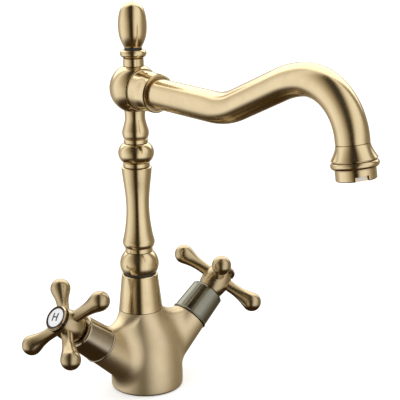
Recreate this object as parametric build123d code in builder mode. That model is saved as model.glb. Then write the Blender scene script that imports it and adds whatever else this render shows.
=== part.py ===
from build123d import *
import os
from math import asin, cos, degrees, radians, sin, sqrt

# Two-handle basin mixer. Millimetres, +Z up. The origin is the centre of the round base on
# the deck. The spout points along -Y, the hot valve is on -X and the cold valve on +X.

os.makedirs("parts", exist_ok=True)

# Driving dimensions
BASE_RADIUS = 25.0
COLUMN_BACK = 5.0  # the swivel axis stands this far behind the base centre
VALVE_TILT = 38.7  # valve axes above the deck, degrees
VALVE_CROSSING = 8.2  # height where both valve axes meet
HUB_HEIGHT = 210.0
HUB_RADIUS = 16.5
TUBE_RADIUS = 10.0
TUBE_WALL = 1.5
RUN = 0.05  # radial clearance of a turning fit
O_RING = 1.6  # squeezed cord size of every o-ring

# Stations up the column axis
COLLAR_BOTTOM = 55.0
NIPPLE_TOP = 61.5
COLLAR_TOP = 80.5
COLUMN_BOTTOM = 82.0
NECK_TOP = 195.4
FINIAL_BOTTOM = 224.8
BLACK_RING_BOTTOM = 235.7
EGG_BOTTOM = 237.3
EGG_TOP = 267.2

# Stations along a valve axis, measured outwards from the crossing
SEAT_LEVEL = 27.0
DISC_LEVEL = 28.6
ARM_END = 50.0
NOSE_TOP = 71.0  # end of the cartridge's thin nose
SLEEVE_TOP = 74.0
HANDLE_BOTTOM = 74.7
CROSS_LEVEL = 86.2
BUTTON_BOTTOM = 92.2
BUTTON_TOP = 96.4
ARM_REACH = 30.0  # handle centre to ball centre
BALL_RADIUS = 6.8
ARM_TURN = 48.0  # first arm, turned from straight up towards the front

# Stations along the spout branch, measured forwards from the hub centre
UNION_BACK = 8.0
UNION_FRONT = 25.5
TUBE_START = 19.5
SPOUT_DROOP = 1.1  # degrees

# Bores and shafts
WATER_RADIUS = 5.0
SPIGOT_RADIUS = 8.5
COLLAR_THREAD = 12.0
HUB_THREAD = 5.8
CARTRIDGE_THREAD = 9.5
SPINDLE_RADIUS = 4.0
DRIVE_WIDTH = 5.6
SCREW_RADIUS = 1.9
FINIAL_STUD = 3.0
UNION_NIPPLE = 8.5
BELL_SPIGOT = TUBE_RADIUS - TUBE_WALL
AERATOR_THREAD = 10.6
INLET_RADIUS = 4.5
INLET_X = 9.0
INLET_Y = -6.0
STUD_RADIUS = 3.4
STUD_Y = 13.0
SOCKET_DEPTH = 14.0

column_deck = Plane((0, COLUMN_BACK, 0))
column_side = Plane((0, COLUMN_BACK, 0), x_dir=(1, 0, 0), z_dir=(0, -1, 0))
column_axis = Axis((0, COLUMN_BACK, 0), (0, 0, 1))
droop = radians(SPOUT_DROOP)
spout_side = Plane(
    (0, COLUMN_BACK, HUB_HEIGHT), x_dir=(0, -cos(droop), -sin(droop)), z_dir=(-1, 0, 0)
)
spout_axis = Axis(spout_side.origin, spout_side.x_dir)
spout_front = Plane(spout_side.origin, x_dir=(1, 0, 0), z_dir=spout_side.x_dir)


def save(part, label):
    part.label = label
    export_step(part, "parts/" + label + ".step")


def ring(inner_radius, outer_radius, bottom, height, plane=Plane.XY):
    """A flat ring on the plane, such as a washer or a squeezed o-ring."""
    with BuildPart() as piece:
        with BuildSketch(plane.offset(bottom)):
            Circle(outer_radius)
            Circle(inner_radius, mode=Mode.SUBTRACT)
        extrude(amount=height)
    return piece.part


def bore(radius, start, end, plane):
    """Cuts a round hole between two stations on the plane's normal, inside a BuildPart."""
    with BuildSketch(plane.offset(start)) as section:
        Circle(radius)
    extrude(section.sketch, amount=end - start, mode=Mode.SUBTRACT)


# ---------------------------------------------------------------- body, fixed to the deck


def valve_plane(side):
    """Side -1 is hot and +1 is cold. Local X is up the slope, local Z is outwards."""
    tilt = radians(VALVE_TILT)
    up_slope = (-side * sin(tilt), 0, cos(tilt))
    outwards = (side * cos(tilt), 0, sin(tilt))
    return Plane((0, 0, VALVE_CROSSING), x_dir=up_slope, z_dir=outwards)


def make_valve_body():
    trunk_sections = (  # height, radius, backward shift
        (0.0, BASE_RADIUS - 0.4, 0.0),
        (8.0, BASE_RADIUS, 0.0),
        (18.0, BASE_RADIUS - 0.4, COLUMN_BACK * 0.04),
        (31.0, 23.0, COLUMN_BACK * 0.28),
        (44.0, 18.6, COLUMN_BACK * 0.76),
        (COLLAR_BOTTOM, 15.1, COLUMN_BACK),
    )
    arm_root, arm_root_radius, arm_end_radius = 14.0, 14.6, 12.7
    crotch_round, rim_round = 18.0, 2.0
    groove_inner, groove_outer, groove_depth = 18.0, 22.0, 1.5
    chamber_bottom, chamber_top = 24.0, 46.0
    inlet_top = 19.0
    seat_bore, seat_start = 4.0, 8.0
    gallery_height, gallery_radius, gallery_end = 35.5, 4.0, 26.0
    with BuildPart() as body:
        for height, radius, shift in trunk_sections:
            with BuildSketch(Plane((0, shift, height))):
                Circle(radius)
        loft()
        for side in (-1, 1):
            slope = valve_plane(side)
            valve_section = Plane(
                slope.origin, x_dir=slope.x_dir, z_dir=slope.x_dir.cross(slope.z_dir)
            )
            with BuildSketch(valve_section):
                with BuildLine():
                    Polyline(
                        (0, arm_root),
                        (arm_root_radius, arm_root),
                        (arm_end_radius, ARM_END),
                        (0, ARM_END),
                        close=True,
                    )
                make_face()
            revolve(axis=Axis(slope.origin, slope.z_dir))
        seams = body.edges().filter_by(GeomType.BSPLINE)
        crotches = seams.filter_by(lambda e: 1 < e.center().Z < COLLAR_BOTTOM - 1)
        fillet(crotches, radius=crotch_round)
        foot = body.edges().sort_by(Axis.Z)[0]
        fillet(foot, radius=rim_round)
        with BuildSketch(column_deck.offset(COLLAR_BOTTOM)):
            Circle(COLLAR_THREAD)
        extrude(amount=NIPPLE_TOP - COLLAR_BOTTOM)
        bore(SPIGOT_RADIUS + RUN, chamber_top - 4, NIPPLE_TOP, column_deck)
        bore(SPIGOT_RADIUS - 1, chamber_bottom, chamber_top, column_deck)
        with BuildSketch():
            Circle(groove_outer)
            Circle(groove_inner, mode=Mode.SUBTRACT)
        extrude(amount=groove_depth, mode=Mode.SUBTRACT)
        bore(STUD_RADIUS, 0, SOCKET_DEPTH, Plane((0, STUD_Y, 0)))
        for side in (-1, 1):
            bore(INLET_RADIUS, 0, inlet_top, Plane((side * INLET_X, INLET_Y, 0)))
            bore(seat_bore, seat_start, SEAT_LEVEL, valve_plane(side))
            bore(CARTRIDGE_THREAD, SEAT_LEVEL, ARM_END, valve_plane(side))
            sideways = Plane(
                (0, COLUMN_BACK / 2, gallery_height), x_dir=(0, 1, 0), z_dir=(side, 0, 0)
            )
            bore(gallery_radius, 0, gallery_end, sideways)
    save(body.part, "valve_body")
    save(ring(groove_inner, groove_outer, 0, groove_depth), "base_gasket")


def make_collar():
    foot_radius, top_radius = 15.1, 12.3
    rim_round = 0.8
    ring_room_radius, ring_room_top = 11.0, 67.0
    with BuildPart() as collar:
        with BuildSketch(column_side):
            with BuildLine():
                Polyline(
                    (SPIGOT_RADIUS + RUN, COLLAR_TOP),
                    (top_radius, COLLAR_TOP),
                    (foot_radius, COLLAR_BOTTOM),
                    (COLLAR_THREAD, COLLAR_BOTTOM),
                    (COLLAR_THREAD, NIPPLE_TOP + 0.5),
                    (ring_room_radius, NIPPLE_TOP + 0.5),
                    (ring_room_radius, ring_room_top),
                    (SPIGOT_RADIUS + RUN, ring_room_top),
                    close=True,
                )
            make_face()
        revolve(axis=column_axis)
        rims = collar.edges().filter_by(GeomType.CIRCLE).sort_by(Axis.Z)
        top_rim = rims.group_by(Axis.Z)[-1].sort_by(SortBy.RADIUS)[-1]
        fillet(top_rim, radius=rim_round)
    save(collar.part, "collar")


# ------------------------------------------------------- swivel column, hub and finial


def make_column():
    spigot_bottom = 43.0
    ring_groove_bottom, ring_groove_height, ring_groove_radius = 63.0, 2.2, 7.3
    seal_levels = (46.5, 51.5)
    seal_groove_radius = SPIGOT_RADIUS - O_RING
    nipple_top = 200.8
    with BuildPart() as column:
        with BuildSketch(column_side):
            with BuildLine():
                Polyline(
                    (WATER_RADIUS, COLUMN_BOTTOM),
                    (11.4, COLUMN_BOTTOM),
                    (12.2, COLUMN_BOTTOM + 0.6),
                )
                lower_ball = ThreePointArc(
                    (12.2, COLUMN_BOTTOM + 0.6), (13.3, 88.3), (9.4, 96.4)
                )
                Polyline(
                    lower_ball @ 1,
                    (9.0, 96.5),
                    (9.4, 96.9),
                    (9.4, 99.6),
                    (9.0, 100.0),
                    (10.2, 100.5),
                )
                vase_foot = ThreePointArc((10.2, 100.5), (10.9, 102.6), (10.5, 105.6))
                vase = Spline(
                    vase_foot @ 1,
                    (8.9, 114.1),
                    (7.8, 128.0),
                    (8.8, 142.4),
                    (10.3, 155.6),
                    tangents=[(-0.25, 1), (0.08, 1)],
                )
                vase_lip = ThreePointArc(vase @ 1, (10.1, 156.1), (9.6, 156.3))
                Polyline(
                    vase_lip @ 1,
                    (8.6, 156.5),
                    (9.0, 156.9),
                    (9.0, 159.3),
                    (8.7, 159.7),
                    (9.5, 160.1),
                )
                upper_ball = ThreePointArc((9.5, 160.1), (12.1, 166.1), (8.4, 172.6))
                Polyline(
                    upper_ball @ 1,
                    (7.7, 172.8),
                    (8.1, 173.2),
                    (8.1, 175.5),
                    (7.7, 175.9),
                    (8.4, 176.6),
                )
                bell = ThreePointArc((8.4, 176.6), (9.0, 179.9), (8.5, 182.6))
                neck = Spline(
                    bell @ 1,
                    (6.8, 190.0),
                    (7.3, NECK_TOP),
                    tangents=[(-0.3, 1), (0.2, 1)],
                )
                Polyline(
                    neck @ 1,
                    (HUB_THREAD, NECK_TOP),
                    (HUB_THREAD, nipple_top),
                    (WATER_RADIUS - 1, nipple_top),
                    (WATER_RADIUS - 1, NECK_TOP),
                    (WATER_RADIUS, NECK_TOP - 2),
                    (WATER_RADIUS, COLUMN_BOTTOM),
                )
            make_face()
        revolve(axis=column_axis)
        with BuildSketch(column_deck.offset(spigot_bottom)):
            Circle(SPIGOT_RADIUS)
            Circle(WATER_RADIUS, mode=Mode.SUBTRACT)
        extrude(amount=COLUMN_BOTTOM - spigot_bottom)
        grooves = [(ring_groove_bottom, ring_groove_height, ring_groove_radius)]
        for level in seal_levels:
            grooves.append((level, O_RING + 0.2, seal_groove_radius))
        for level, height, radius in grooves:
            with BuildSketch(column_deck.offset(level)):
                Circle(SPIGOT_RADIUS)
                Circle(radius, mode=Mode.SUBTRACT)
            extrude(amount=height, mode=Mode.SUBTRACT)
    save(column.part, "column")
    washer = ring(SPIGOT_RADIUS, 11.2, COLLAR_TOP + 0.1, 1.4, column_deck)
    save(washer, "swivel_washer")
    retainer = make_split_ring(
        ring_groove_radius, 10.4, ring_groove_bottom + 0.1, 2.0, column_deck
    )
    save(retainer, "retaining_ring")
    for level, name in zip(seal_levels, ("lower", "upper")):
        seal = ring(seal_groove_radius, SPIGOT_RADIUS + RUN / 2, level + 0.1, O_RING, column_deck)
        save(seal, "spigot_o_ring_" + name)


def make_split_ring(inner_radius, outer_radius, bottom, height, plane):
    slit = 3.0
    with BuildPart() as piece:
        with BuildSketch(plane.offset(bottom)):
            Circle(outer_radius)
            Circle(inner_radius, mode=Mode.SUBTRACT)
            with Locations((outer_radius, 0)):
                Rectangle(outer_radius * 2, slit, mode=Mode.SUBTRACT)
        extrude(amount=height)
    return piece.part


def make_hub():
    rim_radius, rim_depth = 13.8, 0.6
    chamber_radius = 7.0
    chamber_low, chamber_high = 200.8, 217.0
    face_forward = UNION_BACK + rim_depth
    with BuildPart() as hub:
        with Locations((0, COLUMN_BACK, HUB_HEIGHT)):
            Sphere(HUB_RADIUS)
        split(bisect_by=column_deck.offset(NECK_TOP), keep=Keep.TOP)
        split(bisect_by=column_deck.offset(FINIAL_BOTTOM), keep=Keep.BOTTOM)
        split(bisect_by=spout_front.offset(face_forward), keep=Keep.BOTTOM)
        bore(rim_radius, UNION_BACK, face_forward, spout_front)
        bore(HUB_THREAD, NECK_TOP, chamber_low, column_deck)
        bore(chamber_radius, chamber_low, chamber_high, column_deck)
        bore(UNION_NIPPLE, 0, UNION_BACK, spout_front)
        bore(FINIAL_STUD, chamber_high + 2, FINIAL_BOTTOM, column_deck)
    save(hub.part, "hub")


def make_finial():
    ring_radius = 5.8
    seam = 230.3
    stud_bottom = 219.5
    with BuildPart() as collar:
        with BuildSketch(column_side):
            with BuildLine():
                Polyline(
                    (FINIAL_STUD, FINIAL_BOTTOM),
                    (6.5, FINIAL_BOTTOM),
                    (6.9, FINIAL_BOTTOM + 0.4),
                    (6.8, seam - 0.3),
                    (6.3, seam),
                    (7.1, seam + 0.4),
                )
                crown = ThreePointArc(
                    (7.1, seam + 0.4), (8.85, seam + 3.2), (7.3, BLACK_RING_BOTTOM)
                )
                Polyline(
                    crown @ 1,
                    (FINIAL_STUD, BLACK_RING_BOTTOM),
                    (FINIAL_STUD, FINIAL_BOTTOM),
                )
            make_face()
        revolve(axis=column_axis)
    save(collar.part, "finial_collar")
    black_ring = ring(
        FINIAL_STUD, ring_radius, BLACK_RING_BOTTOM, EGG_BOTTOM - BLACK_RING_BOTTOM, column_deck
    )
    save(black_ring, "finial_ring")
    with BuildPart() as egg:
        with BuildSketch(column_side):
            with BuildLine():
                Polyline(
                    (0, EGG_BOTTOM),
                    (5.7, EGG_BOTTOM),
                    (6.1, EGG_BOTTOM + 0.4),
                )
                Spline(
                    (6.1, EGG_BOTTOM + 0.4),
                    (8.5, EGG_BOTTOM + 6.0),
                    (9.5, EGG_BOTTOM + 13.3),
                    (9.2, EGG_BOTTOM + 19.2),
                    (8.15, EGG_BOTTOM + 23.9),
                    (6.4, EGG_BOTTOM + 27.1),
                    (3.8, EGG_BOTTOM + 29.1),
                    (0, EGG_TOP),
                    tangents=[(0.5, 1), (-1, 0)],
                )
                Line((0, EGG_TOP), (0, EGG_BOTTOM))
            make_face()
        revolve(axis=column_axis)
        with BuildSketch(column_deck.offset(stud_bottom)):
            Circle(FINIAL_STUD)
        extrude(amount=EGG_BOTTOM - stud_bottom)
    save(egg.part, "finial_egg")


# ------------------------------------------------------------------------- spout branch


def make_spout_union():
    ring_radius, barrel_radius, waist_radius, flange_radius = 13.5, 13.1, 12.4, 12.9
    ring_end, barrel_end, flange_start = 9.4, 16.0, 22.8
    nipple_back, union_bore = 2.0, 6.5
    seal_station, seal_depth = 21.0, 1.0
    gap_radius, gap_depth = 11.3, 1.2
    edge_round = 0.6
    with BuildPart() as union:
        with BuildSketch(spout_side):
            with BuildLine():
                Polyline(
                    (barrel_end, barrel_radius),
                    (ring_end + 0.3, barrel_radius),
                    (ring_end, ring_radius),
                    (UNION_BACK + edge_round, ring_radius),
                    (UNION_BACK, ring_radius - edge_round),
                    (UNION_BACK, UNION_NIPPLE),
                    (nipple_back, UNION_NIPPLE),
                    (nipple_back, union_bore),
                    (TUBE_START, union_bore),
                    (TUBE_START, TUBE_RADIUS),
                    (seal_station, TUBE_RADIUS),
                    (seal_station, TUBE_RADIUS + seal_depth),
                    (seal_station + O_RING, TUBE_RADIUS + seal_depth),
                    (seal_station + O_RING, TUBE_RADIUS),
                    (UNION_FRONT - gap_depth, TUBE_RADIUS),
                    (UNION_FRONT - gap_depth, gap_radius),
                    (UNION_FRONT, gap_radius),
                    (UNION_FRONT, flange_radius - edge_round),
                    (UNION_FRONT - edge_round, flange_radius),
                    (flange_start + edge_round, flange_radius),
                    (flange_start, waist_radius),
                )
                Spline(
                    (flange_start, waist_radius),
                    (barrel_end, barrel_radius),
                    tangents=[(-1, 0.02), (-1, 0)],
                )
            make_face()
        revolve(axis=spout_axis)
    save(union.part, "spout_union")
    seal = ring(TUBE_RADIUS, TUBE_RADIUS + seal_depth, seal_station, O_RING, spout_front)
    save(seal, "spout_o_ring")


def make_spout_path():
    """Centreline of the tube: a level run, a rise, and an arch down to the outlet."""
    level_end = 78.8
    rise_angle, rise_radius, rise_length = 25.8, 54.0, 41.0
    crest_turn, crest_radius = 15.7, 68.0
    arch_turn, arch_radius, outlet_straight = 90.0, 34.1, 2.9
    with BuildLine(spout_side) as path:
        level = Line((TUBE_START, 0), (level_end, 0))
        dip = JernArc(level @ 1, level % 1, radius=rise_radius, arc_size=rise_angle)
        rise = Line(dip @ 1, (dip @ 1) + (dip % 1) * rise_length)
        crest = JernArc(rise @ 1, rise % 1, radius=crest_radius, arc_size=-crest_turn)
        arch = JernArc(crest @ 1, crest % 1, radius=arch_radius, arc_size=-arch_turn)
        Line(arch @ 1, (arch @ 1) + (arch % 1) * outlet_straight)
    return path.wire()


def make_spout_tube(path):
    with BuildPart() as tube:
        with BuildSketch(spout_front.offset(TUBE_START)):
            Circle(TUBE_RADIUS)
            Circle(TUBE_RADIUS - TUBE_WALL, mode=Mode.SUBTRACT)
        sweep(path=path)
    save(tube.part, "spout_tube")


def make_outlet(path):
    """Bell, bead, aerator housing and its insert, down the outlet axis from the seam."""
    outlet = Plane(path @ 1, x_dir=(1, 0, 0), z_dir=path % 1)
    side = Plane(path @ 1, x_dir=(1, 0, 0), z_dir=Vector(1, 0, 0).cross(path % 1))
    axis = Axis(path @ 1, path % 1)
    spigot_length, bell_bore = 4.0, 7.0
    seam_radius, seam_width = 9.2, 0.6
    rim_station, groove_station, bead_station, bell_end = 8.9, 9.7, 11.9, 13.8
    groove_radius, thread_start = 12.6, 9.6
    with BuildPart() as bell:
        with BuildSketch(side):
            with BuildLine():
                skirt = Spline(
                    (TUBE_RADIUS, seam_width),
                    (11.4, 5.0),
                    (13.4, rim_station - 0.3),
                    tangents=[(0.12, 1), (0.6, 1)],
                )
                Polyline(
                    skirt @ 1,
                    (13.5, rim_station),
                    (groove_radius, rim_station + 0.3),
                    (groove_radius, groove_station),
                )
                bead = ThreePointArc(
                    (groove_radius, groove_station), (14.0, bead_station), (12.6, bell_end)
                )
                Polyline(
                    bead @ 1,
                    (AERATOR_THREAD, bell_end),
                    (AERATOR_THREAD, thread_start),
                    (bell_bore, thread_start - 2.0),
                    (bell_bore, -spigot_length),
                    (BELL_SPIGOT, -spigot_length),
                    (BELL_SPIGOT, 0.0),
                    (seam_radius, 0.0),
                    (seam_radius, seam_width),
                    (TUBE_RADIUS, seam_width),
                )
            make_face()
        revolve(axis=axis)
    save(bell.part, "outlet_bell")

    housing_radius, housing_end, housing_bore = 11.8, 20.6, 9.6
    lip_station, lip_radius = 19.8, 9.0
    notch_width, notch_height, notch_turn = 8.0, 4.4, 60.0
    with BuildPart() as housing:
        with BuildSketch(side):
            with BuildLine():
                Polyline(
                    (AERATOR_THREAD, thread_start + 0.6),
                    (AERATOR_THREAD, bell_end),
                    (housing_radius, bell_end),
                    (housing_radius, housing_end - 0.5),
                    (housing_radius - 0.5, housing_end),
                    (lip_radius, housing_end),
                    (lip_radius, lip_station),
                    (housing_bore, lip_station),
                    (housing_bore, thread_start + 0.6),
                    close=True,
                )
            make_face()
        revolve(axis=axis)
        notch_plane = outlet.offset(housing_end - notch_height).rotated((0, 0, notch_turn))
        with BuildSketch(notch_plane):
            with Locations((housing_radius, 0), (-housing_radius, 0)):
                Rectangle(2 * (housing_radius - housing_bore), notch_width)
        extrude(amount=2 * notch_height, mode=Mode.SUBTRACT)
    save(housing.part, "aerator_housing")

    insert_top, screen_bottom, hole_radius = 12.4, 18.6, 0.8
    with BuildPart() as insert:
        with BuildSketch(outlet.offset(insert_top)):
            Circle(housing_bore)
        extrude(amount=screen_bottom - insert_top)
        with BuildSketch(outlet.offset(screen_bottom)):
            Circle(housing_bore)
            Circle(lip_radius - 0.6, mode=Mode.SUBTRACT)
        extrude(amount=lip_station - screen_bottom)
        with BuildSketch(outlet.offset(insert_top)):
            with PolarLocations(3.0, 6):
                Circle(hole_radius)
            with PolarLocations(6.2, 12):
                Circle(hole_radius)
        extrude(amount=screen_bottom - insert_top, mode=Mode.SUBTRACT)
    save(insert.part, "aerator_insert")
    washer = ring(bell_bore, housing_bore - 0.1, thread_start + 0.6, 2.0, outlet)
    save(washer, "aerator_washer")


# ------------------------------------------------------------------- valves and handles
# These pieces are drawn upright on +Z and then moved onto their valve axis.


def place(part, side, turn=0.0):
    return valve_plane(side).location * Rotation(0, 0, turn) * part


def turned(points):
    """A solid turned about +Z from (radius, station) corners."""
    with BuildPart() as piece:
        with BuildSketch(Plane.XZ):
            with BuildLine():
                Polyline(*points, close=True)
            make_face()
        revolve(axis=Axis.Z)
    return piece.part


def make_sleeve():
    foot_radius, top_radius, bore_radius = 12.9, 11.9, 10.4
    lip_radius, lip_height = 13.4, 1.6
    cap_thickness, nose_radius = 2.5, 7.0
    seam_gap, arm_seat_radius = 0.4, 12.1
    with BuildPart() as sleeve:
        with BuildSketch(Plane.XZ):
            with BuildLine():
                bead = ThreePointArc(
                    (foot_radius, ARM_END + seam_gap),
                    (lip_radius, ARM_END + seam_gap + lip_height / 2),
                    (foot_radius, ARM_END + seam_gap + lip_height),
                )
                Polyline(
                    bead @ 0,
                    (arm_seat_radius, ARM_END + seam_gap),
                    (arm_seat_radius, ARM_END),
                    (bore_radius, ARM_END),
                    (bore_radius, ARM_END + 4.0),
                    (bore_radius - 0.8, ARM_END + 4.0),
                    (bore_radius - 0.8, SLEEVE_TOP - cap_thickness),
                    (nose_radius, SLEEVE_TOP - cap_thickness),
                    (nose_radius, SLEEVE_TOP),
                    (top_radius, SLEEVE_TOP),
                    bead @ 1,
                )
            make_face()
        revolve(axis=Axis.Z)
        top_edge = sleeve.edges().group_by(Axis.Z)[-1].sort_by(SortBy.RADIUS)[-1]
        fillet(top_edge, radius=1.4)
    return sleeve.part


def make_cartridge():
    flange_radius, flange_top = 9.3, 56.0
    disc_room, disc_room_top = 8.1, 38.0
    nose_radius = 6.6
    window_width, window_low, window_high = 9.0, 32.4, 37.0
    with BuildPart() as cartridge:
        with BuildSketch(Plane.XZ):
            with BuildLine():
                Polyline(
                    (disc_room, DISC_LEVEL),
                    (CARTRIDGE_THREAD, DISC_LEVEL),
                    (CARTRIDGE_THREAD, ARM_END),
                    (flange_radius, ARM_END),
                    (flange_radius, flange_top),
                    (nose_radius, flange_top),
                    (nose_radius, NOSE_TOP),
                    (SPINDLE_RADIUS + RUN, NOSE_TOP),
                    (SPINDLE_RADIUS + RUN, disc_room_top),
                    (disc_room, disc_room_top),
                    close=True,
                )
            make_face()
        revolve(axis=Axis.Z)
        with BuildSketch(Plane.XY.offset(window_low)):
            Rectangle(window_width, 4 * CARTRIDGE_THREAD)
        extrude(amount=window_high - window_low, mode=Mode.SUBTRACT)
    return cartridge.part


def make_discs():
    """Two ceramic discs, each with a pair of opposed ports."""
    disc_radius, moving_radius, thickness = 8.1, 7.7, 2.6
    port_radius, port_reach = 2.4, 4.2
    discs = []
    for bottom, radius in ((DISC_LEVEL, disc_radius), (DISC_LEVEL + thickness + 0.02, moving_radius)):
        with BuildPart() as disc:
            with BuildSketch(Plane.XY.offset(bottom)):
                Circle(radius)
                with PolarLocations(port_reach, 2):
                    Circle(port_radius, mode=Mode.SUBTRACT)
            extrude(amount=thickness)
        discs.append(disc.part)
    return discs


def make_spindle():
    driver_bottom, driver_top, driver_radius = 33.84, 37.6, 7.5
    driver_window = 5.0
    seal_station, clip_station, clip_depth = 62.0, 71.15, 0.8
    drive_start, drive_end = 74.4, 86.0
    with BuildPart() as spindle:
        with BuildSketch(Plane.XY.offset(driver_bottom)):
            Circle(driver_radius)
            with Locations((driver_radius, 0), (-driver_radius, 0)):
                Rectangle(driver_window, driver_window, mode=Mode.SUBTRACT)
        extrude(amount=driver_top - driver_bottom)
        with BuildSketch(Plane.XY.offset(driver_top)):
            Circle(SPINDLE_RADIUS)
        extrude(amount=drive_start - driver_top)
        with BuildSketch(Plane.XY.offset(drive_start)):
            Rectangle(DRIVE_WIDTH, DRIVE_WIDTH)
        extrude(amount=drive_end - drive_start)
        for station, height in ((seal_station, O_RING + 0.2), (clip_station, clip_depth)):
            with BuildSketch(Plane.XY.offset(station)):
                Circle(SPINDLE_RADIUS)
                Circle(SPINDLE_RADIUS - O_RING + 0.6, mode=Mode.SUBTRACT)
            extrude(amount=height, mode=Mode.SUBTRACT)
        bore(SCREW_RADIUS, drive_end - 9.0, drive_end, Plane.XY)
    seal_inner = SPINDLE_RADIUS - O_RING + 0.6
    seal = ring(seal_inner, SPINDLE_RADIUS + RUN / 2, seal_station + 0.1, O_RING)
    clip = make_split_ring(seal_inner, 6.0, clip_station + 0.05, clip_depth - 0.1, Plane.XY)
    return spindle.part, seal, clip


def make_handle():
    neck_radius = 4.0
    socket_end, screw_seat = 86.0, 88.2
    root = 7.0
    screw_room = 4.4
    with BuildPart() as handle:
        with BuildSketch(Plane.XZ):
            with BuildLine():
                barrel = ThreePointArc(
                    (8.6, HANDLE_BOTTOM + 0.5), (10.2, 82.5), (8.6, BUTTON_BOTTOM - 1.2)
                )
                Polyline(
                    barrel @ 1,
                    (8.0, BUTTON_BOTTOM),
                    (0, BUTTON_BOTTOM),
                    (0, HANDLE_BOTTOM),
                    (8.1, HANDLE_BOTTOM),
                    barrel @ 0,
                )
            make_face()
        revolve(axis=Axis.Z)
        for quarter in range(4):
            turn = radians(90 * quarter)
            out = Vector(cos(turn), sin(turn), 0)
            arm_plane = Plane((0, 0, CROSS_LEVEL), x_dir=out, z_dir=out.cross(Vector(0, 0, 1)))
            with BuildSketch(arm_plane):
                with BuildLine():
                    swell = Spline(
                        (root, neck_radius + 0.4),
                        (14.5, neck_radius),
                        (23.5, 5.2),
                        (ARM_REACH - 1.5, sqrt(BALL_RADIUS**2 - 1.5**2)),
                        tangents=[(1, -0.12), (1, 0.22)],
                    )
                    ThreePointArc(
                        swell @ 1,
                        (ARM_REACH + BALL_RADIUS * cos(radians(45)), BALL_RADIUS * sin(radians(45))),
                        (ARM_REACH + BALL_RADIUS, 0),
                    )
                    Polyline((ARM_REACH + BALL_RADIUS, 0), (root, 0), swell @ 0)
                make_face()
            revolve(axis=Axis((0, 0, CROSS_LEVEL), out))
        bore(screw_room, screw_seat, BUTTON_BOTTOM, Plane.XY)
        bore(SCREW_RADIUS + 0.2, socket_end, screw_seat, Plane.XY)
        with BuildSketch(Plane.XY.offset(HANDLE_BOTTOM)):
            Rectangle(DRIVE_WIDTH, DRIVE_WIDTH)
        extrude(amount=socket_end - HANDLE_BOTTOM, mode=Mode.SUBTRACT)
    return handle.part


def make_handle_screw():
    head_radius, head_bottom, head_top = 3.8, 88.2, 91.2
    tip = 78.5
    slot_width, slot_depth = 1.0, 1.2
    with BuildPart() as screw:
        with BuildSketch(Plane.XY.offset(tip)):
            Circle(SCREW_RADIUS)
        extrude(amount=head_bottom - tip)
        with BuildSketch(Plane.XY.offset(head_bottom)):
            Circle(head_radius)
        extrude(amount=head_top - head_bottom)
        with BuildSketch(Plane.XY.offset(head_top - slot_depth)):
            Rectangle(3 * head_radius, slot_width)
        extrude(amount=slot_depth, mode=Mode.SUBTRACT)
    return screw.part


def make_button():
    rim_radius, disc_radius, floor = 9.0, 6.5, 94.6
    dome_height = 0.5
    dome_radius = (disc_radius**2 + dome_height**2) / (2 * dome_height)
    dome_angle = degrees(asin(disc_radius / dome_radius))
    plug_radius, plug_bottom = 4.4, 91.4
    rim = turned(
        (
            (0, plug_bottom),
            (plug_radius, plug_bottom),
            (plug_radius, BUTTON_BOTTOM),
            (rim_radius - 0.5, BUTTON_BOTTOM),
            (rim_radius, BUTTON_BOTTOM + 0.5),
            (rim_radius, BUTTON_TOP - 1.8),
            (rim_radius - 0.5, BUTTON_TOP - 1.3),
            (rim_radius - 0.5, BUTTON_TOP - 0.7),
            (rim_radius - 0.9, BUTTON_TOP - 0.2),
            (disc_radius + 0.7, BUTTON_TOP - 0.2),
            (disc_radius + 0.4, BUTTON_TOP - 0.7),
            (disc_radius, BUTTON_TOP - 0.7),
            (disc_radius, floor),
            (0, floor),
        )
    )
    with BuildPart() as disc:
        with BuildSketch(Plane.XZ):
            with BuildLine():
                dome = JernArc((0, BUTTON_TOP), (1, 0), radius=dome_radius, arc_size=-dome_angle)
                Polyline(dome @ 1, (disc_radius, floor), (0, floor), (0, BUTTON_TOP))
            make_face()
        revolve(axis=Axis.Z)
    return rim, disc.part


def make_valves():
    fixed_disc, moving_disc = make_discs()
    spindle, spindle_seal, clip = make_spindle()
    rim, disc = make_button()
    pieces = {
        "sleeve": make_sleeve(),
        "cartridge": make_cartridge(),
        "seat_seal": ring(4.4, 8.6, SEAT_LEVEL, DISC_LEVEL - SEAT_LEVEL),
        "fixed_disc": fixed_disc,
        "moving_disc": moving_disc,
        "spindle": spindle,
        "spindle_o_ring": spindle_seal,
        "spindle_clip": clip,
        "handle": make_handle(),
        "handle_screw": make_handle_screw(),
        "index_rim": rim,
        "index_disc": disc,
    }
    turning = ("moving_disc", "spindle", "spindle_o_ring", "spindle_clip", "handle",
               "handle_screw", "index_rim", "index_disc")
    for side, water in ((-1, "hot_"), (1, "cold_")):
        for name, piece in pieces.items():
            turn = side * -ARM_TURN if name in turning else 0.0
            save(place(piece, side, turn), water + name)


make_valve_body()
make_collar()
make_column()
make_hub()
make_finial()
make_spout_union()
spout_path = make_spout_path()
make_spout_tube(spout_path)
make_outlet(spout_path)
make_valves()
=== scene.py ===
from math import cos, pi, radians, sin

import bpy
from mathutils import Matrix, Vector


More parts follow.
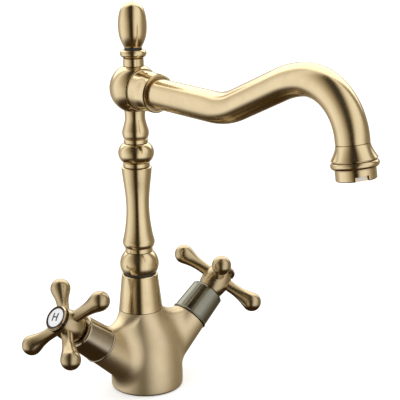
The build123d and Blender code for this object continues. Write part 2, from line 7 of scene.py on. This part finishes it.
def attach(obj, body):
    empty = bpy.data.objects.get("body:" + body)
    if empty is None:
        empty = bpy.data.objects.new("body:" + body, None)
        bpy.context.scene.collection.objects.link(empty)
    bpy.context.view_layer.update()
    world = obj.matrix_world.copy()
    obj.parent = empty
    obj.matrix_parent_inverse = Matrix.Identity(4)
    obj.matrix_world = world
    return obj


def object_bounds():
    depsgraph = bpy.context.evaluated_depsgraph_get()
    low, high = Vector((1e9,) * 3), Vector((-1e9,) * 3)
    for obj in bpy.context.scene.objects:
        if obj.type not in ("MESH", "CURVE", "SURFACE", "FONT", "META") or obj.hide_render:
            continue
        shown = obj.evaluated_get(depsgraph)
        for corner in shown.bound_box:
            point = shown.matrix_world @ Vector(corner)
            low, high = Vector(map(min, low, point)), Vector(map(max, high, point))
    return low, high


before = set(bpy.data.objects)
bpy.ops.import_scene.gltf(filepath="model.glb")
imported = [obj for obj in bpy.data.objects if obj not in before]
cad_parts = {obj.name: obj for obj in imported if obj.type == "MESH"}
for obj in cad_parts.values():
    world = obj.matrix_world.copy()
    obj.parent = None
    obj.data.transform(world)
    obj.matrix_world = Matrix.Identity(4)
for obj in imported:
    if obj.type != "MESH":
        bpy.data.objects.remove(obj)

# Two-handle basin mixer in brushed antique brass. Metres, +Z up, spout towards -Y, hot on -X.
cad_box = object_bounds()
scene = bpy.context.scene
scene.view_settings.view_transform = "Standard"

VALVE_TILT = radians(38.7)  # valve axes above the deck
VALVE_CROSSING = 0.0082  # height where both valve axes meet
SPOUT_DROOP = radians(1.1)
OUTLET_LEAN = radians(9.0)  # the outlet points this far outwards from straight down
COLLAR_FOOT = 0.055  # height of the joint between body and collar

UP = Vector((0, 0, 1))
HOT_AXIS = Vector((-cos(VALVE_TILT), 0, sin(VALVE_TILT)))
COLD_AXIS = Vector((cos(VALVE_TILT), 0, sin(VALVE_TILT)))
SPOUT_AXIS = Vector((0, -cos(SPOUT_DROOP), -sin(SPOUT_DROOP)))
OUTLET_AXIS = Vector((0, -sin(OUTLET_LEAN), -cos(OUTLET_LEAN)))

# Camera, as seen from the front left
VIEW_AZIMUTH = radians(-40.69)
VIEW_ELEVATION = radians(15.53)
VIEW_ROLL = radians(-0.98)
VIEW_DISTANCE = 0.9092
VIEW_TARGET_RIGHT = 0.0392
VIEW_TARGET_HEIGHT = 0.1329
LENS_MM = 120.79


# ------------------------------------------------------------------------ small helpers


def add(tree, kind, inputs=None, **settings):
    """A node with its settings, and its inputs by name, as values or as sockets to link."""
    node = tree.nodes.new(kind)
    for name, value in settings.items():
        setattr(node, name, value)
    for name, value in (inputs or {}).items():
        if isinstance(value, bpy.types.NodeSocket):
            tree.links.new(value, node.inputs[name])
        else:
            node.inputs[name].default_value = value
    return node


def math(tree, operation, *values, clamp=False):
    inputs = dict(enumerate(values))
    return add(tree, "ShaderNodeMath", inputs, operation=operation, use_clamp=clamp).outputs[0]


def remap(tree, value, low, high, to_low=0.0, to_high=1.0, smooth=False):
    inputs = {"Value": value, "From Min": low, "From Max": high, "To Min": to_low, "To Max": to_high}
    kind = "SMOOTHSTEP" if smooth else "LINEAR"
    return add(tree, "ShaderNodeMapRange", inputs, interpolation_type=kind).outputs[0]


def mix(tree, factor, a, b):
    """Colour a where the factor is 0 and b where it is 1."""
    node = add(tree, "ShaderNodeMix", data_type="RGBA")
    colour_inputs = [s for s in node.inputs if s.type == "RGBA"]
    for socket, value in ((node.inputs[0], factor), (colour_inputs[0], a), (colour_inputs[1], b)):
        if isinstance(value, bpy.types.NodeSocket):
            tree.links.new(value, socket)
        else:
            socket.default_value = value
    return next(s for s in node.outputs if s.type == "RGBA")


def noise(tree, vector, scale, detail=3.0, roughness=0.55):
    inputs = {"Vector": vector, "Scale": scale, "Detail": detail, "Roughness": roughness}
    return add(tree, "ShaderNodeTexNoise", inputs).outputs[0]


def new_material(name, **shader):
    """A material with its shader; keyword names are the shader's sockets with _ for a space."""
    material = bpy.data.materials.new(name)
    material.use_nodes = True
    tree = material.node_tree
    tree.nodes.clear()
    bsdf = tree.nodes.new("ShaderNodeBsdfPrincipled")
    output = tree.nodes.new("ShaderNodeOutputMaterial")
    tree.links.new(bsdf.outputs[0], output.inputs[0])
    for socket, value in shader.items():
        bsdf.inputs[socket.replace("_", " ")].default_value = value
    place = tree.nodes.new("ShaderNodeTexCoord").outputs["Object"]
    return material, tree, bsdf, place


def colour(red, green, blue):
    return (red, green, blue, 1.0)


# -------------------------------------------------------------------------- materials

BRASS = colour(0.82, 0.66, 0.40)
CAST = colour(0.82, 0.67, 0.43)
WORN_BRASS = colour(0.56, 0.44, 0.26)
# dirt and age on the collar, and painted shade in its crevices and at its seam
DIRT_AND_SHADE = colour(0.10, 0.065, 0.035)
# age on the brass, and painted shade in its crevices
BRASS_PATINA_AND_SHADE = colour(0.28, 0.19, 0.10)
# painted light and shade: one bronze, painted lighter and warmer for the hot sleeve and darker for the
# cold one
PAINTED_SHADED_BRONZE = colour(0.27, 0.265, 0.21)
PAINTED_LIT_BRONZE = colour(0.58, 0.50, 0.38)
# age on the sleeves, and painted shade in their crevices
BRONZE_PATINA_AND_SHADE = colour(0.12, 0.105, 0.07)
DARK_BRASS = colour(0.07, 0.05, 0.035)
# age on the dark rims, and painted shade in their crevices
DARK_PATINA_AND_SHADE = colour(0.03, 0.02, 0.015)
FLOOR_REFLECTION = colour(0.05, 0.03, 0.012)
BACKDROP = colour(1.8, 1.8, 1.75)
WHITE = colour(1, 1, 1)

LATHE_LINES = 2600.0  # polishing lines per metre of noise
LATHE_WANDER = 1.4
PAINTED_SHADE_REACH = 0.0016  # painted shade darkens where surfaces stand closer than this
METAL_BUMP, MOULDED_BUMP = 0.000005, 0.00002
LACQUER_ROUGHNESS = 0.12
RIM_EDGE_START, RIM_EDGE_END = 0.0081, 0.0086  # distances from the valve axis of the painted highlight ring


def brushed_metal(
    name, bright, patina_and_shade, axis=None, roughness=0.17, grain=0.3, coat=0.25, seam=None
):
    """Aged metal under lacquer. With an axis, it has the fine rings of a polishing lathe. Painted
    shade darkens it in crevices. With a seam, a painted shadow line darkens the joint at that height."""
    material, tree, bsdf, place = new_material(name, Metallic=1.0)
    bsdf.inputs["Coat Weight"].default_value = coat
    bsdf.inputs["Coat Roughness"].default_value = LACQUER_ROUGHNESS
    cloud = noise(tree, place, 55.0, 4.0)
    speck = noise(tree, place, 900.0, 2.0)
    if axis is None:
        lines = noise(tree, place, LATHE_LINES, 2.0)
    else:
        along = add(tree, "ShaderNodeVectorMath", {0: place, 1: axis}, operation="DOT_PRODUCT")
        stations = math(tree, "MULTIPLY", along.outputs["Value"], LATHE_LINES)
        wander = math(tree, "MULTIPLY", noise(tree, place, 160.0, 2.0), LATHE_WANDER)
        station = math(tree, "ADD", stations, wander)
        lines = add(
            tree,
            "ShaderNodeTexNoise",
            {"W": station, "Scale": 1.0, "Detail": 3.0, "Roughness": 0.7},
            noise_dimensions="1D",
        ).outputs[0]
        bsdf.inputs["Anisotropic"].default_value = 0.55
        sideways = Vector((0.3, 0.9, 0.1))
        direction = (axis + 0.02 * sideways).normalized()
        tangent = add(
            tree,
            "ShaderNodeVectorTransform",
            {"Vector": direction},
            vector_type="VECTOR",
            convert_from="OBJECT",
            convert_to="WORLD",
        )
        tree.links.new(tangent.outputs[0], bsdf.inputs["Tangent"])
    # painted shade: the dark colour is mixed in where ambient occlusion finds surfaces close by
    occlusion = add(tree, "ShaderNodeAmbientOcclusion", {"Distance": PAINTED_SHADE_REACH}, samples=6)
    painted_crevice_shade = remap(tree, occlusion.outputs["AO"], 0.35, 0.95, 1.0, 0.0, smooth=True)
    aged = remap(tree, cloud, 0.35, 0.75, 0.0, 0.16)
    streak = remap(tree, lines, 0.3, 0.7, -0.05, 0.05)
    amount = math(tree, "ADD", aged, math(tree, "MULTIPLY", painted_crevice_shade, 0.75))
    amount = math(tree, "ADD", amount, streak, clamp=True)
    # a painted shadow line: darker in a thin band just above the seam height
    if seam is not None:
        height = add(tree, "ShaderNodeSeparateXYZ", {0: place}).outputs["Z"]
        joint = remap(tree, height, seam + 0.0002, seam + 0.0006, 1.0, 0.0, smooth=True)
        amount = math(tree, "MAXIMUM", amount, joint)
    tree.links.new(mix(tree, amount, bright, patina_and_shade), bsdf.inputs["Base Color"])
    gloss = math(tree, "ADD", remap(tree, speck, 0.3, 0.7, -0.03, 0.03), roughness)
    gloss = math(tree, "ADD", gloss, math(tree, "MULTIPLY", amount, 0.12))
    tree.links.new(gloss, bsdf.inputs["Roughness"])
    height = math(tree, "ADD", lines, math(tree, "MULTIPLY", speck, 0.4))
    texture = {"Strength": grain, "Distance": METAL_BUMP, "Height": height}
    bump = add(tree, "ShaderNodeBump", texture)
    tree.links.new(bump.outputs[0], bsdf.inputs["Normal"])
    return material


def add_painted_rim_highlight(material, axis, start, end):
    """A painted highlight: brass colour in a ring between two distances from an axis, over the dark
    finish.
    """
    tree = material.node_tree
    bsdf = next(n for n in tree.nodes if n.type == "BSDF_PRINCIPLED")
    place = next(n for n in tree.nodes if n.type == "TEX_COORD").outputs["Object"]
    crossing = UP * VALVE_CROSSING
    offset = add(tree, "ShaderNodeVectorMath", {0: place, 1: crossing}, operation="SUBTRACT")
    arm = {0: offset.outputs[0], 1: axis}
    across = add(tree, "ShaderNodeVectorMath", arm, operation="CROSS_PRODUCT")
    length = add(tree, "ShaderNodeVectorMath", {0: across.outputs[0]}, operation="LENGTH")
    distance = length.outputs["Value"]
    inner = remap(tree, distance, start, start + 0.0001, smooth=True)
    outer = remap(tree, distance, end, end + 0.0001, 1.0, 0.0, smooth=True)
    painted_highlight = math(tree, "MULTIPLY", inner, outer)
    dark = bsdf.inputs["Base Color"].links[0].from_socket
    tree.links.new(mix(tree, painted_highlight, dark, BRASS), bsdf.inputs["Base Color"])


def moulded(name, base, spread, roughness=0.45, **shader):
    """Rubber, plastic or fired clay: an even colour with a slow drift and a fine surface."""
    material, tree, bsdf, place = new_material(name, **shader)
    drift = noise(tree, place, 180.0, 4.0)
    tree.links.new(mix(tree, drift, base, spread), bsdf.inputs["Base Color"])
    speck = noise(tree, place, 1400.0, 2.0)
    gloss = math(tree, "ADD", remap(tree, speck, 0.3, 0.7, -0.05, 0.05), roughness)
    tree.links.new(gloss, bsdf.inputs["Roughness"])
    texture = {"Strength": 0.3, "Distance": MOULDED_BUMP, "Height": speck}
    bump = add(tree, "ShaderNodeBump", texture)
    tree.links.new(bump.outputs[0], bsdf.inputs["Normal"])
    return material


brass_upright = brushed_metal("antique_brass_upright", BRASS, BRASS_PATINA_AND_SHADE, UP)
# the collar has a painted shadow line at its joint with the body
brass_collar = brushed_metal("antique_brass_collar", BRASS, DIRT_AND_SHADE, UP, seam=COLLAR_FOOT)
brass_cast = brushed_metal("antique_brass_cast", CAST, BRASS_PATINA_AND_SHADE, roughness=0.44)
brass_arms = brushed_metal("antique_brass_arms", WORN_BRASS, BRASS_PATINA_AND_SHADE, roughness=0.24)
brass_tube = brushed_metal("antique_brass_tube", BRASS, BRASS_PATINA_AND_SHADE, roughness=0.2)
brass_branch = brushed_metal("antique_brass_branch", BRASS, BRASS_PATINA_AND_SHADE, SPOUT_AXIS)
brass_outlet = brushed_metal("antique_brass_outlet", BRASS, BRASS_PATINA_AND_SHADE, OUTLET_AXIS)
sides = {"hot_": HOT_AXIS, "cold_": COLD_AXIS}
# each sleeve gets a painted light tone: lighter on the hot side, darker on the cold side
sleeve_painted_light = {"hot_": PAINTED_LIT_BRONZE, "cold_": PAINTED_SHADED_BRONZE}

looks = {
    "valve_body": brass_cast,
    "collar": brass_collar,
    "column": brass_upright,
    "hub": brass_upright,
    "finial_collar": brass_upright,
    "finial_egg": brass_upright,
    "finial_ring": moulded("black_seal", colour(0.012, 0.011, 0.01), colour(0.03, 0.028, 0.025)),
    "spout_union": brass_branch,
    "spout_tube": brass_tube,
    "outlet_bell": brass_outlet,
    "aerator_housing": brass_outlet,
    "aerator_insert": moulded(
        "aerator_grey", colour(0.60, 0.60, 0.62), colour(0.70, 0.70, 0.72), roughness=0.3
    ),
}
rubber = moulded("rubber", colour(0.015, 0.015, 0.016), colour(0.035, 0.035, 0.036), 0.6)
bearing = moulded("bearing_plastic", colour(0.02, 0.017, 0.013), colour(0.035, 0.03, 0.025))
fired = moulded("valve_ceramic", colour(0.75, 0.73, 0.68), colour(0.82, 0.8, 0.77), 0.25)
steel = brushed_metal("steel", colour(0.55, 0.55, 0.55), colour(0.25, 0.24, 0.23))
raw_brass = brushed_metal("raw_brass", colour(0.75, 0.56, 0.25), colour(0.4, 0.26, 0.1))
glaze = moulded(
    "porcelain",
    colour(0.80, 0.80, 0.82),
    colour(0.86, 0.86, 0.87),
    roughness=0.12,
    Coat_Weight=0.6,
    Coat_Roughness=0.04,
)
seals = ("base_gasket", "spigot_o_ring_lower", "spigot_o_ring_upper", "spout_o_ring", "aerator_washer")
for name in seals:
    looks[name] = rubber
for name in ("swivel_washer", "retaining_ring"):
    looks[name] = bearing
for water, axis in sides.items():
    dark_rim = brushed_metal(water + "dark_brass", DARK_BRASS, DARK_PATINA_AND_SHADE, axis)
    # a painted highlight ring on the index rim's chamfer
    add_painted_rim_highlight(dark_rim, axis, RIM_EDGE_START, RIM_EDGE_END)
    bronze = brushed_metal(water + "sleeve_bronze", sleeve_painted_light[water], BRONZE_PATINA_AND_SHADE, axis)
    looks.update({
        water + "sleeve": bronze,
        water + "cartridge": raw_brass,
        water + "seat_seal": rubber,
        water + "fixed_disc": fired,
        water + "moving_disc": fired,
        water + "spindle": raw_brass,
        water + "spindle_o_ring": rubber,
        water + "spindle_clip": steel,
        water + "handle": brass_arms,
        water + "handle_screw": steel,
        water + "index_rim": dark_rim,
        water + "index_disc": glaze,
    })
for name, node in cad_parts.items():
    for slot in node.material_slots:
        slot.material = looks[name]
    if not node.material_slots:
        node.data.materials.append(looks[name])


# ------------------------------------------------------------------------- index letters

LETTER_BASE, LETTER_FACE = 0.0961, 0.09644  # stations on the valve axis, just through the glaze
LETTER_SIZE = 0.0076
LETTER_LEAN = radians(14.0)


def make_letter(water, axis, text):
    """A dark printed letter on the porcelain disc, upright for a user in front."""
    curve = bpy.data.curves.new(water + "letter", "FONT")
    curve.body = text
    curve.size = LETTER_SIZE
    curve.align_x = "CENTER"
    curve.align_y = "CENTER"
    curve.offset = 0.00012
    curve.extrude = (LETTER_FACE - LETTER_BASE) / 2
    shape = bpy.data.objects.new(water + "letter_outline", curve)
    mesh = bpy.data.meshes.new_from_object(shape)
    bpy.data.objects.remove(shape)
    letter = bpy.data.objects.new(water + "letter", mesh)
    scene.collection.objects.link(letter)
    slope = (UP - axis * axis.dot(UP)).normalized()
    lean = LETTER_LEAN if axis.x < 0 else -LETTER_LEAN
    upright = Matrix.Rotation(lean, 3, axis) @ slope
    across = upright.cross(axis)
    middle = UP * VALVE_CROSSING + axis * (LETTER_BASE + LETTER_FACE) / 2
    turn = Matrix((across, upright, axis)).transposed().to_4x4()
    letter.matrix_world = Matrix.Translation(middle) @ turn
    letter.data.materials.append(ink)
    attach(letter, water + "handle")


ink = moulded("letter_ink", colour(0.01, 0.01, 0.012), colour(0.02, 0.02, 0.022), roughness=0.35)
make_letter("hot_", HOT_AXIS, "H")
make_letter("cold_", COLD_AXIS, "C")


# ------------------------------------------------------------------- studio and camera


def make_world():
    """Reflections come from a bright studio with a dark gap behind the camera, a white backdrop
    and a dark floor below. Everything else is lit by plain white."""
    world = bpy.data.worlds.new("studio")
    scene.world = world
    world.use_nodes = True
    tree = world.node_tree
    tree.nodes.clear()
    direction = add(tree, "ShaderNodeTexCoord").outputs["Generated"]
    turn = pi / 2 - VIEW_AZIMUTH
    facing = add(
        tree,
        "ShaderNodeVectorRotate",
        {"Vector": direction, "Angle": turn},
        rotation_type="Z_AXIS",
    )
    axes = add(tree, "ShaderNodeSeparateXYZ", {0: facing.outputs[0]})
    above = math(tree, "MAXIMUM", axes.outputs["Z"], 0.0)
    ahead = remap(tree, axes.outputs["X"], -0.35, 0.10, smooth=True)
    forward = math(tree, "MULTIPLY_ADD", above, ahead, axes.outputs["X"])
    azimuth = math(tree, "ARCTAN2", axes.outputs["Y"], forward)
    bearing_share = remap(tree, azimuth, -pi, pi)
    walls = add(tree, "ShaderNodeValToRGB", {"Fac": bearing_share})
    # degrees to the right of the camera, and brightness
    wall_lights = (
        (-180, 0.42), (-150, 0.45), (-126, 0.55), (-97, 1.08), (-65, 0.92), (-46, 0.62),
        (-29, 0.32), (-21, 0.13), (-14, 0.03), (-3, 0.012), (3, 0.04), (11, 0.50), (21, 0.95),
        (46, 1.05), (65, 0.84), (85, 0.40), (110, 0.25), (150, 0.36), (180, 0.42),
    )
    ramp = walls.color_ramp
    while len(ramp.elements) < len(wall_lights):
        ramp.elements.new(0.5)
    for stop, (degrees_right, light) in zip(ramp.elements, wall_lights):
        stop.position = degrees_right / 360 + 0.5
        stop.color = colour(light, light**1.12, light**1.4)
    low = remap(tree, axes.outputs["Z"], -0.42, -0.80, smooth=True)
    sky = mix(tree, low, walls.outputs[0], FLOOR_REFLECTION)
    behind = remap(tree, math(tree, "ABSOLUTE", azimuth), radians(121), radians(133), smooth=True)
    raised = remap(tree, axes.outputs["Z"], 0.08, 0.34, smooth=True)
    sky = mix(tree, math(tree, "MULTIPLY", behind, raised), sky, BACKDROP)
    # the floor is mixed in a second time, so that it darkens faster near its edge
    sky = mix(tree, low, sky, FLOOR_REFLECTION)
    lit = add(tree, "ShaderNodeBackground", {"Color": sky, "Strength": 1.0})
    plain = add(tree, "ShaderNodeBackground", {"Color": WHITE, "Strength": 1.0})
    ray = add(tree, "ShaderNodeLightPath").outputs["Is Glossy Ray"]
    both = add(tree, "ShaderNodeMixShader", {0: ray, 1: plain.outputs[0], 2: lit.outputs[0]})
    output = tree.nodes.new("ShaderNodeOutputWorld")
    tree.links.new(both.outputs[0], output.inputs[0])


def make_floor():
    bpy.ops.mesh.primitive_circle_add(vertices=96, radius=3.5, fill_type="NGON")
    floor = bpy.context.object
    floor.name = "floor"
    floor.location.z = cad_box[0][2] - 0.0001
    floor.visible_glossy = False
    material, tree, bsdf, place = new_material("floor_paint", Roughness=0.9)
    bsdf.inputs["Specular IOR Level"].default_value = 0.0
    bsdf.inputs["Emission Color"].default_value = WHITE
    bsdf.inputs["Emission Strength"].default_value = 0.4
    tone = noise(tree, place, 4.0)
    tree.links.new(
        mix(tree, tone, colour(0.86, 0.86, 0.85), colour(0.9, 0.9, 0.9)), bsdf.inputs["Base Color"]
    )
    floor.data.materials.append(material)


def make_camera():
    back = Vector((
        sin(VIEW_AZIMUTH) * cos(VIEW_ELEVATION),
        -cos(VIEW_AZIMUTH) * cos(VIEW_ELEVATION),
        sin(VIEW_ELEVATION),
    ))
    right = Vector((cos(VIEW_AZIMUTH), sin(VIEW_AZIMUTH), 0))
    up = back.cross(right)
    target = right * VIEW_TARGET_RIGHT + UP * VIEW_TARGET_HEIGHT
    data = bpy.data.cameras.new("camera")
    data.lens = LENS_MM
    data.sensor_width = 36.0
    data.clip_start = 0.05
    data.clip_end = 20.0
    camera = bpy.data.objects.new("camera", data)
    scene.collection.objects.link(camera)
    rolled_right = right * cos(VIEW_ROLL) + up * sin(VIEW_ROLL)
    rolled_up = up * cos(VIEW_ROLL) - right * sin(VIEW_ROLL)
    rotation = Matrix((rolled_right, rolled_up, back)).transposed().to_4x4()
    camera.matrix_world = Matrix.Translation(target + back * VIEW_DISTANCE) @ rotation
    scene.camera = camera


make_world()
make_floor()
make_camera()
